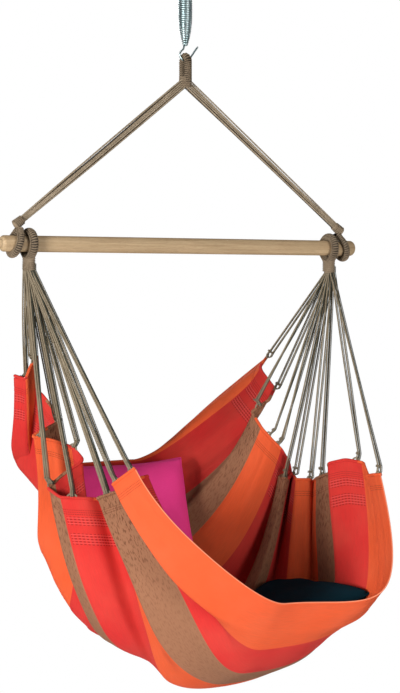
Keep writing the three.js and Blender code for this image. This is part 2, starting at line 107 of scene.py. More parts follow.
def resampled(points, step):
    """The same line through points at even steps, and each step's distance along it"""
    line = np.array([tuple(p) for p in points], float)
    run = distances_along(line)
    at = np.linspace(0, run[-1], max(2, int(round(run[-1] / step)) + 1))
    return places_on(line, run, at), at


def frames_along(line):
    """Normal and side at each point, turned as little as possible from one to the next"""
    tangents = np.gradient(line, axis=0)
    tangents /= np.linalg.norm(tangents, axis=1)[:, None]
    normal = np.array((1.0, 0, 0)) if abs(tangents[0][0]) < 0.7 else np.array((0, 1.0, 0))
    normals = np.zeros_like(line)
    for i, tangent in enumerate(tangents):
        normal = normal - tangent * normal.dot(tangent)
        normal /= np.linalg.norm(normal)
        normals[i] = normal
    return normals, np.cross(tangents, normals)


def new_build():
    return {"points": [], "faces": [], "uv": []}


def add_rings(build, rings, at):
    """A tube through rings of points, closed at both ends, with its map round and along it"""
    count, sides = rings.shape[:2]
    first = len(build["points"])
    build["points"].extend(map(tuple, rings.reshape(-1, 3)))
    for i in range(count - 1):
        a, b = first + i * sides, first + (i + 1) * sides
        for j in range(sides):
            k = (j + 1) % sides
            build["faces"].append((a + j, a + k, b + k, b + j))
            build["uv"].extend(((j + u) / sides, at[i + v]) for u, v in ((0, 0), (1, 0), (1, 1), (0, 1)))
    for end, order in ((0, -1), (count - 1, 1)):
        ring = [first + end * sides + j for j in range(sides)][::order]
        build["faces"].append(tuple(ring))
        build["uv"].extend((0.5, at[end]) for _ in ring)


def add_tube(build, line, at, radius, sides, lay=0.0, lobe=0.0):
    """A cord along a line. With a lay it twists, and a lobe gives it the yarns of a laid cord"""
    normals, across = frames_along(line)
    turn = np.arange(sides) * tau / sides
    shape = 1 - lobe * (1 - np.abs(np.cos(cord_yarns / 2 * turn)))
    twist = (at * tau / lay) if lay else np.zeros(len(at))
    angle = turn[None, :] + twist[:, None]
    size = np.broadcast_to(np.asarray(radius, float), (len(line),))
    out = normals[:, None, :] * np.cos(angle)[..., None] + across[:, None, :] * np.sin(angle)[..., None]
    add_rings(build, line[:, None, :] + out * (shape[None, :] * size[:, None])[..., None], at)


def add_cord(build, points, step, *shape, start=0.0):
    """A tube through points at even steps"""
    line, at = resampled(points, step)
    add_tube(build, line, at + start, *shape)


def make_piece(name, build, material, body, slot, *cad_nodes):
    """A smooth mesh object from a build, with its body and the CAD nodes that it replaces. Its slot is not used
    """
    mesh = bpy.data.meshes.new(name)
    mesh.from_pydata(build["points"], [], build["faces"])
    layer = mesh.uv_layers.new(name="lay")
    layer.data.foreach_set("uv", np.array(build["uv"], np.float32).ravel())
    mesh.shade_smooth()
    mesh.materials.append(material)
    piece = bpy.data.objects.new(name, mesh)
    scene.collection.objects.link(piece)
    if body:
        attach(piece, body)
    if cad_nodes:
        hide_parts(*cad_nodes)
    return piece


class Finish:
    """A material in the making: its shader's inputs, and short calls that add and join its nodes"""

    def __init__(self, name, roughness, metallic=0.0, specular=0.25):
        self.material = bpy.data.materials.new(name)
        self.material.use_nodes = True
        self.nodes = self.material.node_tree.nodes
        self.join = self.material.node_tree.links.new
        self.shader = self.nodes["Principled BSDF"].inputs
        values = {"Roughness": roughness, "Metallic": metallic, "Specular IOR Level": specular}
        for key, value in values.items():
            self.shader[key].default_value = value

    def add(self, kind, feeds, **settings):
        """A new node's outputs, its settings made and its inputs fed by sockets or values"""
        node = self.nodes.new(kind)
        for key, value in settings.items():
            setattr(node, key, value)
        for key, value in feeds.items():
            if isinstance(value, bpy.types.NodeSocket):
                self.join(value, node.inputs[key])
            else:
                node.inputs[key].default_value = value
        return node.outputs

    def calc(self, operation, *values):
        return self.add("ShaderNodeMath", dict(enumerate(values)), operation=operation)[0]

    def product(self, first, *others):
        for other in others:
            first = self.calc("MULTIPLY", first, other)
        return first

    def spread(self, value, gain, base):
        return self.calc("MULTIPLY_ADD", value, gain, base)

    def held(self, value, low, high):
        return self.calc("MINIMUM", self.calc("MAXIMUM", value, low), high)

    def wave(self, at, pitch):
        return self.calc("SINE", self.product(at, tau / pitch))

    def mix(self, share, first, second):
        """One colour over another by a share"""
        first, second = ((*colour, 1) if isinstance(colour, tuple) else colour for colour in (first, second))
        return self.add("ShaderNodeMix", {0: share, 6: first, 7: second}, data_type="RGBA")[2]

    def mottle(self, place, scale, detail, **values):
        """Soft noise over a place"""
        return self.add("ShaderNodeTexNoise", dict(Vector=place, Scale=scale, Detail=detail, **values))[0]

    def stretched(self, place, scale):
        return self.add("ShaderNodeMapping", {"Vector": place, "Scale": scale})[0]

    def object_place(self):
        return self.add("ShaderNodeTexCoord", {})["Object"]

    def laid_place(self):
        """A place on the piece's own map, and its two parts"""
        place = self.add("ShaderNodeUVMap", {}, uv_map="lay")[0]
        parts = self.add("ShaderNodeSeparateXYZ", {"Vector": place})
        return place, parts[0], parts[1]

    def done(self, colour, height, distance, **others):
        """The finished material, with its colour, its bump and other inputs"""
        bump = self.add("ShaderNodeBump", {"Strength": 1.0, "Distance": distance, "Height": height})
        for name, value in {"Base Color": colour, "Normal": bump[0], **others}.items():
            self.join(value, self.shader[name])
        return self.material


def cord_material(name, light, dark, width=yarn_width):
    """Undyed cotton: fine twisted yarns with painted shade in the grooves between them, and slow changes of
    tone
    """
    cotton = Finish(name, 0.92)
    _, around, along = cotton.laid_place()
    yarns = cotton.wave(cotton.spread(around, 9.0, cotton.product(along, 1 / width)), 1)
    where = cotton.object_place()
    tone = cotton.mottle(where, 38.0, 3.0)
    fibre = cotton.mottle(where, 900.0, 2.0)
    # Painted shade: the yarns' wave darkens the colour in their grooves; the tone also varies at random
    share = cotton.calc("ADD", cotton.spread(yarns, 0.18, 0.3), cotton.spread(tone, 0.9, -0.35))
    return cotton.done(cotton.mix(share, dark, light), cotton.spread(fibre, 0.5, yarns), 0.0003)


strand_cotton = cord_material("strand_cotton", (0.58, 0.46, 0.33), (0.25, 0.19, 0.12))
# The back row's cotton is a darker copy of the strand cotton, standing in for the shade behind the front row
painted_shade_cotton = cord_material("painted_shade_cotton", (0.17, 0.135, 0.095), (0.06, 0.047, 0.032))
draw = random.Random(7)
loop_foot = Vector((0, 0, loop_bottom))
strand_direction = (suspension_throat - loop_foot).normalized()
face_direction = Vector((-strand_direction.z, 0, strand_direction.x))
embed = strand_direction * throat_embed
for side, label in both_sides:
    rows = (new_build(), new_build())
    for number in range(strand_count):
        across = (number + 0.5) / strand_count - 0.5
        deep = Vector((0, strand_depths[number % 2], 0))
        top = loop_foot + face_direction * (throat_face_width / 2 + across * strand_spread_top) - embed + deep
        end = suspension_throat + face_direction * across * strand_spread_end + embed + deep
        sideways, forward = draw.uniform(-1, 1), draw.uniform(-1, 1)
        points = []
        for i in range(strand_steps + 1):
            share = i / strand_steps
            bow = sin(pi * share) * strand_bow
            point = top.lerp(end, share) + face_direction * sideways * bow + Vector((0, forward * bow, 0))
            points.append((side * point.x, point.y, point.z))
        add_cord(rows[number % 2], points, cord_step, cord_radius, cord_sides, side * cord_lay, yarn_lobe,
                 start=draw.uniform(0, cord_lay))
    make_piece(f"strands_behind_{label}", rows[0], painted_shade_cotton, "hanger", "cotton_rope")
    make_piece(f"strands_{label}", rows[1], strand_cotton, "hanger", "cotton_rope",
               *[f"strand_{label}_{number + 1}" for number in range(cad_strands)])

# Clew cords. On each side eleven cords, double on the left, come out of the wound throat under the bar, fan
# out to the hem, go round the hem cord and come back up. A thin cord runs beside each, coloured dark as painted
# shade between the cords, and two turns of cord tie its legs at the hem. The hem cord follows the folds and
# rises in a small loop at each tie.
clew_x, clew_throat_drop = 0.469, 0.062
clew_throat_height = -bar_drop - clew_throat_drop
cloth_width = 1.171
hem_half_span, hem_reach, hem_drop = 0.43, 0.373, 0.63
# A place across the cloth, then how far out, back and down the hem is there, in thousandths of those sizes
hem_shares = {
    -1: (
        (0, 836, -899, 873), (78, 931, -780, 944), (155, 700, -819, 911), (220, 767, -657, 966),
        (291, 881, -491, 1009), (330, 767, -465, 1026), (372, 718, -373, 1027), (400, 735, -287, 1027),
        (435, 839, -292, 1019), (479, 955, -148, 1017), (520, 985, -46, 985), (560, 889, -44, 936),
        (605, 755, -74, 878), (634, 786, 13, 828), (680, 888, 83, 799), (726, 1001, 142, 782),
        (790, 804, 154, 726), (821, 804, 224, 683), (860, 853, 319, 615), (905, 988, 382, 548),
        (920, 1018, 362, 539), (949, 986, 258, 554), (975, 949, 263, 498), (1000, 897, 272, 454)),
    1: (
        (0, 836, -1000, 945), (40, 832, -927, 948), (78, 869, -804, 958), (124, 904, -693, 909),
        (163, 861, -549, 900), (202, 801, -440, 919), (235, 852, -398, 960), (291, 836, -242, 991),
        (318, 861, -165, 1008), (335, 807, -214, 996), (372, 742, -146, 997), (400, 773, -73, 988),
        (440, 814, 30, 976), (479, 751, -58, 992), (507, 675, -106, 992), (535, 678, -28, 991),
        (575, 795, 12, 970), (600, 771, -2, 926), (634, 687, -50, 871), (683, 621, -33, 827),
        (732, 575, 17, 780), (775, 556, 112, 714), (821, 679, 99, 665), (870, 777, 185, 616),
        (935, 775, 347, 545), (955, 783, 386, 524), (975, 844, 423, 494), (1000, 908, 490, 478))}
hold_shares = {-1: (0.012, 0.062, 0.265, 0.385, 0.46, 0.532, 0.635, 0.71, 0.79, 0.9, 0.988),
               1: (0.022, 0.14, 0.27, 0.335, 0.41, 0.51, 0.66, 0.705, 0.798, 0.868, 0.988)}
fold_rounding, rounding_samples, hem_run_share = 0.006, 9, 0.004
hem_seat, hem_loop_rise, hem_loop_half_width, hem_loop_top_share = 0.004, 0.009, 0.011, 0.45
hem_cord_radius, hem_cord_lay, hem_cord_lobe, hem_cord_step, hem_cord_places = 0.0025, 0.016, 0.2, 0.003, 600
bundle_columns, bundle_rows, bundle_pitch = 4, 6, 0.00465
stem_drop, clew_bow, bow_steps = 0.005, 0.004, 14
bend_radius, bend_steps = 0.006, 10
pinch_rise, pinch_half = 0.013, 0.0046
tie_turns, tie_turn_steps, tie_pitch, tie_half_width, tie_half_depth = 2, 16, 0.003, 0.0078, 0.0036
tie_radius, tie_sides, tie_step = 0.0013, 7, 0.0016
clew_cord_radius, thin_cord_radius, thin_cord_sides = 0.0023, 0.0012, 8
side_by_side = Vector((0.84, -0.54, 0))
# A left leg's cords: kind, place beside the leg in cord widths, radius, sides. A right leg lacks the first
leg_cords = (("cords", -0.5, clew_cord_radius, cord_sides), ("cords", 0.5, clew_cord_radius, cord_sides),
             ("thin_cords", 1.3, thin_cord_radius, thin_cord_sides))


def clew_throat(side):
    return Vector((side * clew_x, 0, clew_throat_height))


def hem_point(side, across, rounding=fold_rounding):
    """A place on the hem, with each fold's crease rounded as thick cloth rounds it"""
    table = np.array(hem_shares[side]) / 1000
    spread = across + rounding * np.linspace(-1, 1, rounding_samples)
    out, back, down = (np.interp(spread, table[:, 0], table[:, k]).mean() for k in (1, 2, 3))
    return Vector((side * out * hem_half_span, back * hem_reach, -bar_drop - down * hem_drop))


def hem_frame(side, across):
    """The hem cord's seat above a place on the hem, the way up to the throat, and the hem's run"""
    before, after = max(across - hem_run_share, 0), min(across + hem_run_share, 1)
    run = (hem_point(side, after) - hem_point(side, before)).normalized()
    up = clew_throat(side) - hem_point(side, across)
    up = (up - run * up.dot(run)).normalized()
    return hem_point(side, across) + up * hem_seat, up, run


def bowed(start, end, bow, direction):
    return [start.lerp(end, i / bow_steps) + direction * bow * sin(pi * i / bow_steps)
            for i in range(bow_steps + 1)]


def leg_points(side, order, centre, up, run, sideways):
    """A cord's points: out of the throat, down one leg, round the hem cord and up the other leg"""
    row, first = divmod(order, 2)
    tops = [Vector((side * clew_x + (column - (bundle_columns - 1) / 2) * bundle_pitch,
                    (row - (bundle_rows - 1) / 2) * bundle_pitch, clew_throat_height))
            for column in (first, first + 2)]
    angles = [pi * i / bend_steps for i in range(bend_steps + 1)]
    bend = [centre - sideways * cos(angle) * bend_radius - up * sin(angle) * bend_radius
            for angle in angles]
    pinch = [centre + up * pinch_rise + sideways * turn * pinch_half for turn in (-1, 1)]
    lift, stem = Vector((0, 0, throat_embed)), Vector((0, 0, -stem_drop))
    bows = [draw.uniform(-1, 1) * clew_bow for _ in range(2)]
    return [tops[0] + lift, *bowed(tops[0] + stem, pinch[0], bows[0], run), *bend,
            *bowed(pinch[1], tops[1] + stem, bows[1], run), tops[1] + lift]


clew_cotton = cord_material("clew_cotton", (0.42, 0.34, 0.235), (0.17, 0.135, 0.085))
# The thin cords' cotton is painted dark as the shade between the clew cords
thin_painted_shade_cotton = cord_material("thin_painted_shade_cotton", (0.13, 0.14, 0.105), (0.05, 0.055, 0.04), 0.0012)
clew_cottons = {"cords": clew_cotton, "ties": clew_cotton, "thin_cords": thin_painted_shade_cotton}
for side, label in both_sides:
    # From front to back, each two with the one on the left first
    holds = sorted(hold_shares[side], key=lambda hold: hem_point(side, hold).y)
    for i in range(0, len(holds) - 1, 2):
        holds[i:i + 2] = sorted(holds[i:i + 2], key=lambda hold: hem_point(side, hold).x)
    builds = {kind: new_build() for kind in clew_cottons}
    for order, hold in enumerate(holds):
        base, up, run = hem_frame(side, hold)
        sideways = up.cross(run).normalized()
        if sideways.x < 0:
            sideways.negate()
        centre = base + up * hem_loop_rise
        points = leg_points(side, order, centre, up, run, sideways)
        for kind, offset, radius, sides in leg_cords[side > 0:]:
            beside = side_by_side * offset * 2 * clew_cord_radius
            add_cord(builds[kind], [point + beside for point in points], cord_step, radius, sides, cord_lay,
                     yarn_lobe, start=draw.uniform(0, cord_lay))
        tie = []
        for i in range(tie_turns * tie_turn_steps + 1):
            turn = i / tie_turn_steps
            rise = pinch_rise + tie_pitch * (turn - tie_turns / 2)
            tie.append(centre + up * rise + sideways * cos(tau * turn) * tie_half_width
                       + run * sin(tau * turn) * tie_half_depth)
        add_cord(builds["ties"], tie, tie_step, tie_radius, tie_sides)
    clews = [make_piece(f"clew_{kind}_{label}", builds[kind], cotton, "seat", "cotton_rope")
             for kind, cotton in clew_cottons.items()]
    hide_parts(*[f"clew_cord_{label}_{order + 1}" for order in range(len(holds))])

    half = hem_loop_half_width / cloth_width
    build = new_build()
    points = []
    for i in range(hem_cord_places + 1):
        across = i / hem_cord_places
        base, up, _ = hem_frame(side, across)
        away = min(abs(across - hold) for hold in holds)
        rise = min(max((half - away) / (half * (1 - hem_loop_top_share)), 0), 1)
        points.append(base + up * hem_loop_rise * rise * rise * (3 - 2 * rise))
    add_cord(build, points, hem_cord_step, hem_cord_radius, cord_sides, hem_cord_lay, hem_cord_lobe)
    make_piece(f"hem_rope_{label}", build, clew_cotton, "seat", "cotton_rope", f"hem_cord_{label}")

# Spring. One length of steel wire: an eye that hangs on the fixed hook, a barrel-shaped coil of close turns,
# and an open hook bent from the wire's lower end. It is galvanised, bright outside and grey between turns.
wire_radius, wire_sides, wire_step = 0.0024, 12, 0.0027
wire_end_shares = (0.6, 0.9)
eye_radius, eye_steps, eye_start, eye_sweep = 0.013, 48, 255, 330
coil_top, coil_length, coil_turns, coil_turn_steps = -0.024, 0.19, 33.5, 32
coil_max_radius, coil_end_radius, coil_bulge_power = 0.0166, 0.0039, 2.6
hook_reach = hook_drop = 0.04
hook_steps = 70
hook_shares = ((-0.14, -0.2), (-0.36, -0.42), (-0.42, -0.64), (-0.28, -0.88), (0, -1), (0.22, -0.93),
               (0.45, -0.7), (0.72, -0.34), (1, 0))
knot_steps = 40


def smooth_line(points, count):
    """A smooth line through points, with centripetal spacing and even steps"""
    knots = [Vector(p) for p in points]
    knots = [2 * knots[0] - knots[1], *knots, 2 * knots[-1] - knots[-2]]
    line = []
    for i in range(1, len(knots) - 2):
        p0, p1, p2, p3 = knots[i - 1:i + 3]
        d1, d2, d3 = ((b - a).length ** 0.5 for a, b in ((p0, p1), (p1, p2), (p2, p3)))
        m1 = ((p1 - p0) / d1 - (p2 - p0) / (d1 + d2) + (p2 - p1) / d2) * d2
        m2 = ((p2 - p1) / d2 - (p3 - p1) / (d2 + d3) + (p3 - p2) / d3) * d2
        for j in range(knot_steps):
            t = j / knot_steps
            line.append(p1 * (2 * t ** 3 - 3 * t ** 2 + 1) + m1 * (t ** 3 - 2 * t ** 2 + t)
                        + p2 * (3 * t ** 2 - 2 * t ** 3) + m2 * (t ** 3 - t ** 2))
    line.append(knots[-2])
    total = sum((b - a).length for a, b in zip(line, line[1:]))
    return resampled(line, total / count)[0]


def coil_point(share):
    bulge = 1 - abs(2 * share - 1) ** coil_bulge_power
    radius = coil_end_radius + (coil_max_radius - coil_end_radius) * bulge
    angle = tau * coil_turns * share
    return Vector((radius * cos(angle), radius * sin(angle), coil_top - coil_length * share))


eye_points = []
for i in range(eye_steps + 1):
    angle = radians(eye_start - eye_sweep * i / eye_steps)
    eye_points.append(Vector((eye_radius * cos(angle), 0, eye_radius * sin(angle))))
coil_bottom = coil_top - coil_length
coil_steps = int(coil_turns * coil_turn_steps)
coil_points = [coil_point(i / coil_steps) for i in range(coil_steps + 1)]
hook_points = [Vector((x * hook_reach, 0, coil_bottom + z * hook_drop)) for x, z in hook_shares]
hook_line = smooth_line([coil_point(1) - Vector((0, 0, wire_step)), *hook_points], hook_steps)
line, at = resampled([*eye_points, *coil_points, *hook_line], wire_step)
taper = np.ones(len(line)) * wire_radius
taper[:2] *= wire_end_shares
taper[-2:] *= wire_end_shares[::-1]
wire = new_build()
add_tube(wire, line, at, taper, wire_sides)
steel = Finish("spring_steel", 0.3, metallic=1.0, specular=0.5)
where = steel.object_place()
zinc, drawn = steel.mottle(where, 240.0, 4.0), steel.mottle(where, 60.0, 2.0)
colour = steel.mix(zinc, (0.23, 0.33, 0.34), (0.66, 0.78, 0.79))
zinc_coat = steel.done(colour, zinc, 0.0001, Roughness=steel.spread(drawn, 0.35, 0.15))
spring = make_piece("spring_wire", wire, zinc_coat, None, "spring_steel")
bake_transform(spring)
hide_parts("spring_top_eye", "spring_coil", "spring_hook")

# Rope loop and rope eyes. The loop on the hook and the four eyes round the bar are bundles of the same cords,
# wound all round with cotton cord. Each turn is hitched, which leaves a ridge like a plait along one side of
# the rope. Under each loop or eye the winding closes its legs in an oval throat.
winding_radius, winding_pitch, winding_sides, turn_steps = 0.0019, 0.0053, 6, 16
hitch_radius, hitch_sides, hitch_turn_steps, hitch_step = 0.0013, 6, 4, 0.0012
hitch_swing, hitch_lift = 0.0022, 0.0004
core_inset, core_sides, winding_inset = 0.0024, 14, 0.0022
fine_step, rope_step = 0.001, 0.002
throat_sides, throat_turn_steps, throat_step, throat_winding_lift = 28, 24, 0.004, 0.0008
flat_share, end_fall_share, least_fall_share = 0.75, 0.8, 0.05


def add_winding(build, line, radius, hitch_angle):
    """Cord wound round a rope along its line, with its row of hitches at one angle"""
    line, at = resampled(line, fine_step)
    normals, across = frames_along(line)
    turns = at[-1] / winding_pitch
    points = []
    for i in range(int(turns * turn_steps) + 1):
        angle = tau * i / turn_steps
        place = min(i / turn_steps * winding_pitch / at[-1], 1) * (len(line) - 1)
        low, high, part = int(place), min(int(place) + 1, len(line) - 1), place - int(place)
        middle = line[low] * (1 - part) + line[high] * part
        points.append(middle + (normals[low] * cos(angle) + across[low] * sin(angle)) * radius)
    add_cord(build, points, tau * radius / turn_steps, winding_radius, winding_sides)
    for offset in (-1, 1):
        ridge = []
        for i in range(int(turns * hitch_turn_steps) + 1):
            distance = i / hitch_turn_steps * winding_pitch
            k = min(int(distance / at[-1] * (len(line) - 1)), len(line) - 1)
            swing = hitch_angle + offset * sin(pi * i / 2 + pi / 4) * hitch_swing / radius
            out = normals[k] * cos(swing) + across[k] * sin(swing)
            lift = radius + winding_radius + hitch_lift * (1 + offset * cos(pi * i / 2))
            ridge.append(line[k] + out * lift)
        add_cord(build, ridge, hitch_step, hitch_radius, hitch_sides)


def add_throat(build, ends, half_widths, half_depths):
    """The oval throat between two ends, with its winding. Its half sizes run evenly from end to end"""
    line, at = resampled(ends, rope_step)
    run = line[-1] - line[0]
    depth = np.array((0, 1.0, 0))
    width = np.cross(depth, run / np.linalg.norm(run))

    def out(share, angle, lift=0.0):
        half_x, half_y = (a + (b - a) * share + lift for a, b in (half_widths, half_depths))
        return width * cos(angle) * half_x + depth * sin(angle) * half_y

    rings = []
    for point, share in zip(line, np.linspace(0, 1, len(line))):
        past = max(0, abs(2 * share - 1) - flat_share) / (1 - flat_share)
        round_off = sqrt(max(1 - past ** 2 * end_fall_share, least_fall_share))
        rings.append([point + out(share, tau * j / throat_sides) * round_off
                      for j in range(throat_sides)])
    add_rings(build, np.array(rings), at)
    spiral = []
    for i in range(int(at[-1] / winding_pitch) * throat_turn_steps + 1):
        share = min((i / throat_turn_steps + 0.5) * winding_pitch / at[-1], 1)
        angle = tau * i / throat_turn_steps
        spiral.append(line[0] + run * share + out(share, angle, throat_winding_lift))
    add_cord(build, spiral, throat_step, winding_radius, winding_sides)


def make_wound_rope(rope, end, line, rope_radius, hitch_angle, throat, body, *more_nodes):
    """A loop or an eye: its core, painted dark as the shade between the winding's turns, and its winding with
    its throat
    """
    core = new_build()
    add_cord(core, line, rope_step, rope_radius - core_inset, core_sides)
    make_piece(f"{rope}_core{end}", core, core_shade_cotton, body, "cotton_rope")
    build = new_build()
    add_winding(build, line, rope_radius - winding_inset, hitch_angle)
    add_throat(build, *throat)
    make_piece(f"wound_{rope}{end}", build, rope_cotton, body, "cotton_rope", rope + end, *more_nodes)


rope_cotton = cord_material("rope_cotton", (0.46, 0.35, 0.235), (0.15, 0.105, 0.065), 0.0014)
# The core is the same cotton painted near black, as the shade seen between the winding's turns
core_shade_cotton = cord_material("core_shade_cotton", (0.06, 0.045, 0.03), (0.025, 0.018, 0.012), 0.0014)
loop_rope_radius, loop_arc_radius, loop_arc_centre, loop_arc_steps = 0.01, 0.013, -0.2543, 20
leg_tuck, throat_top_lap, throat_foot_lap = 0.012, 0.004, 0.005
leg_end = loop_bottom + throat_face_width
loop_line = [Vector((0, -loop_arc_radius, leg_end - leg_tuck))]
for i in range(loop_arc_steps + 1):
    angle = pi - pi * i / loop_arc_steps
    rise = loop_arc_centre + loop_arc_radius * sin(angle)
    loop_line.append(Vector((0, loop_arc_radius * cos(angle), rise)))
loop_line.append(Vector((0, loop_arc_radius, leg_end - leg_tuck)))
throat_ends = (Vector((0, 0, leg_end + throat_top_lap)), Vector((0, 0, loop_bottom + throat_foot_lap)))
make_wound_rope("top_loop", "", loop_line, loop_rope_radius, 0.0,
                (throat_ends, (0.0095, 0.015), (0.0195, 0.018)), "hanger")

bar_radius, bar_seat = 0.019, 0.0183
suspension_rope, clew_rope, eye_arc_steps = 0.0095, 0.0115, 40
suspension_lean = suspension_inset / suspension_rise
throat_length, throat_overlap_share = 0.024, 0.8
suspension_laps, clew_laps = (0.004, 0.002), (0.006, 0.004)


def eye_line(rope_radius, throat_reach, lean):
    """The line of a rope eye round the bar, open towards +Z where its two legs meet in the throat"""
    reach = throat_reach - throat_length * throat_overlap_share
    around = bar_seat + rope_radius
    tangent_angle = acos(around / reach)
    leg = reach - rope_radius / 2
    points = [Vector((lean * leg, rope_radius / 2, leg))]
    for i in range(eye_arc_steps + 1):
        angle = tangent_angle + 2 * (pi - tangent_angle) * i / eye_arc_steps
        height = around * cos(angle)
        points.append(Vector((lean * height, around * sin(angle), height)))
    points.append(Vector((lean * leg, -rope_radius / 2, leg)))
    return points


for side, label in both_sides:
    line = [Vector((side * (p.x + suspension_x), p.y, p.z - bar_drop))
            for p in eye_line(suspension_rope, suspension_rise, -suspension_lean)]
    laps = (-suspension_laps[0], throat_length + suspension_laps[1])
    ends = [suspension_throat + strand_direction * distance for distance in laps]
    ends = [Vector((side * p.x, p.y, p.z)) for p in ends]
    make_wound_rope("suspension_eye", f"_{label}", line, suspension_rope, pi if side < 0 else 0.0,
                    (ends, (0.0095, 0.0115), (0.0095, 0.0115)), "hanger")

    line = [Vector((side * clew_x, -p.y, -p.z - bar_drop)) for p in eye_line(clew_rope, clew_throat_drop, 0)]
    laps = (throat_length + clew_laps[0], -clew_laps[1])
    ends = [clew_throat(side) + Vector((0, 0, distance)) for distance in laps]
    make_wound_rope("clew_eye", f"_{label}", line, clew_rope, pi,
                    (ends, (0.0125, 0.014), (0.019, 0.017)), "seat", f"clew_whipping_{label}")

# Spreader bar. A turned round bar of pale hardwood with rounded ends, sanded and oiled. The grain runs along
# it, with short dark flecks, and its tone changes slowly.
bar_length, bar_sides = 1.1, 72
end_rounding, end_rounding_steps, end_face_slack = 0.009, 8, 1e-5

wood = Finish("bar_wood", 0.5)
where = wood.object_place()
grain = wood.mottle(wood.stretched(where, (1.6, 46, 46)), 3.2, 6.0, Roughness=0.6, Distortion=0.6)
flecks = wood.mottle(wood.stretched(where, (24, 420, 420)), 3.0, 2.0)
tone = wood.mottle(where, 16.0, 3.0)
colour = wood.mix(wood.spread(grain, 2.2, -0.6), (0.31, 0.2, 0.105), (0.53, 0.385, 0.23))
colour = wood.mix(wood.held(wood.spread(flecks, 5.0, -2.9), 0.0, 0.55), colour, (0.23, 0.135, 0.07))
colour = wood.mix(wood.spread(tone, 0.5, -0.1), colour, (0.47, 0.365, 0.215))
height = wood.calc("ADD", grain, flecks)

bpy.ops.mesh.primitive_cylinder_add(vertices=bar_sides, radius=bar_radius, depth=bar_length,
                                    location=(0, 0, -bar_drop), rotation=(0, radians(90), 0))
bar = bpy.context.object
bar.name = bar.data.name = "turned_bar"
bpy.ops.object.transform_apply(location=True, rotation=True, scale=True)
bpy.ops.object.mode_set(mode="EDIT")
bpy.ops.mesh.select_all(action="DESELECT")
bpy.ops.object.mode_set(mode="OBJECT")
for edge in bar.data.edges:
    ends = [bar.data.vertices[v].co.x for v in edge.vertices]
    edge.select = abs(ends[0] - ends[1]) < end_face_slack
bpy.ops.object.mode_set(mode="EDIT")
bpy.ops.mesh.bevel(offset=end_rounding, segments=end_rounding_steps, profile=0.5)
bpy.ops.object.mode_set(mode="OBJECT")
bpy.ops.object.shade_smooth_by_angle(angle=radians(40))
bar.data.materials.append(wood.done(colour, height, 0.00025, Roughness=wood.spread(grain, 0.3, 0.32)))
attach(bar, "bar")
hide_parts("spreader_bar")

# Cloth. One width of heavy striped cotton, woven in orange, red and brown, gathered at both ends on the hem
# cords. Its ends are turned over and sewn with three rows of stitches, and its long edges are firm selvages.
cloth_thickness = 0.0018
across_count, middle_rows, half_points = 236, 118, 90
sag_reach, sag_drop, sag_steps = 0.451, 1.146, 1200
# The cloth's middle from the front edge to the back edge, which rolls over: back and down, as shares
sag_shares = ((-1, 0.776), (-0.922, 0.818), (-0.67, 0.933), (-0.492, 0.966), (-0.202, 1), (0.051, 0.949),
              (0.384, 0.887), (0.488, 0.778), (0.543, 0.638), (0.567, 0.53), (0.594, 0.504), (0.622, 0.52),
              (0.635, 0.55))
# A place across the width, then how far a thread there keeps its way at the middle and at the hem
pull_shares = {
    -1: ((0, 0.23, 0.39), (0.202, 0.4, 0.42), (0.291, 0.25, 0.6), (0.372, 0.6, 0.6), (0.479, 0.24, 0.73),
         (0.535, 0.25, 0.76), (0.6, 1.0, 0.8), (0.634, 1.15, 0.82), (0.68, 1.15, 0.72), (0.732, 0.95, 0.52),
         (0.821, 1.08, 0.64), (0.905, 1.15, 0.57), (0.949, 0.92, 0.56), (1, 0.84, 0.56)),
    1: ((0, 0.7, 0.88), (0.124, 0.8, 0.78), (0.202, 1.1, 0.55), (0.291, 1.2, 0.42), (0.372, 1.02, 0.5),
        (0.479, 0.78, 0.6), (0.535, 0.75, 0.47), (0.634, 0.62, 0.5), (0.732, 0.5, 0.52), (0.821, 0.22, 0.42),
        (0.949, 0.25, 0.15), (1, 0.2, 0.15))}
# How widely the folds run together, where they have faded, and how the back edge stands up on the right
gather_share, fold_fade_share = 0.13, 0.62
edge_rise_shares, edge_rises = (0.905, 0.949, 1), (0, -0.012, 0.027)
hem_depth = 0.04
stitch_rows, stitch_sink_width, stitch_sink, hem_lift = (0.028, 0.0335, 0.039), 0.0011, 0.0009, 0.0006
hem_rows = [0, 0.0015, 0.004, 0.008, 0.012, 0.017, 0.022, 0.0265, 0.028, 0.0295, 0.032, 0.0335, 0.035, 0.0375,
            0.039, 0.0405, 0.045, 0.052, 0.06, 0.07, 0.082, 0.095, 0.11]
fine_gather, broad_gather, slack_height, gather_fade = 0.0042, 0.0045, 0.003, 0.32
calm_at_hem, calm_at_edge = 0.05, 0.02
stripe_edges = (0.145, 0.237, 0.341, 0.436, 0.561, 0.627, 0.742, 0.857, 0.961, 1.111)
stripe_order = "ORBORBROBRO"
stripe_colours = {"O": (0.93, 0.115, 0.028), "R": (0.74, 0.026, 0.024), "B": (0.36, 0.165, 0.085)}
stripe_margin = 0.004
thread_shade, pale_patch_colour = (0.10, 0.03, 0.02), (0.95, 0.36, 0.2)
stitch_red, brown_gap = (0.12, 0.012, 0.01), (0.13, 0.045, 0.022)
red_slot_shade, lace_thread = (0.2, 0.008, 0.008), (0.85, 0.18, 0.17)
thread_pitch, stitch_pitch, stitch_half = 0.0016, 0.0042, 0.0009
lace_pitch_across, lace_pitch_along, lace_bands = 0.0075, 0.0072, ((0.045, 0.067), (0.088, 0.118))
sag_line = smooth_line([(0, y * sag_reach, -bar_drop - z * sag_drop) for y, z in sag_shares], sag_steps)


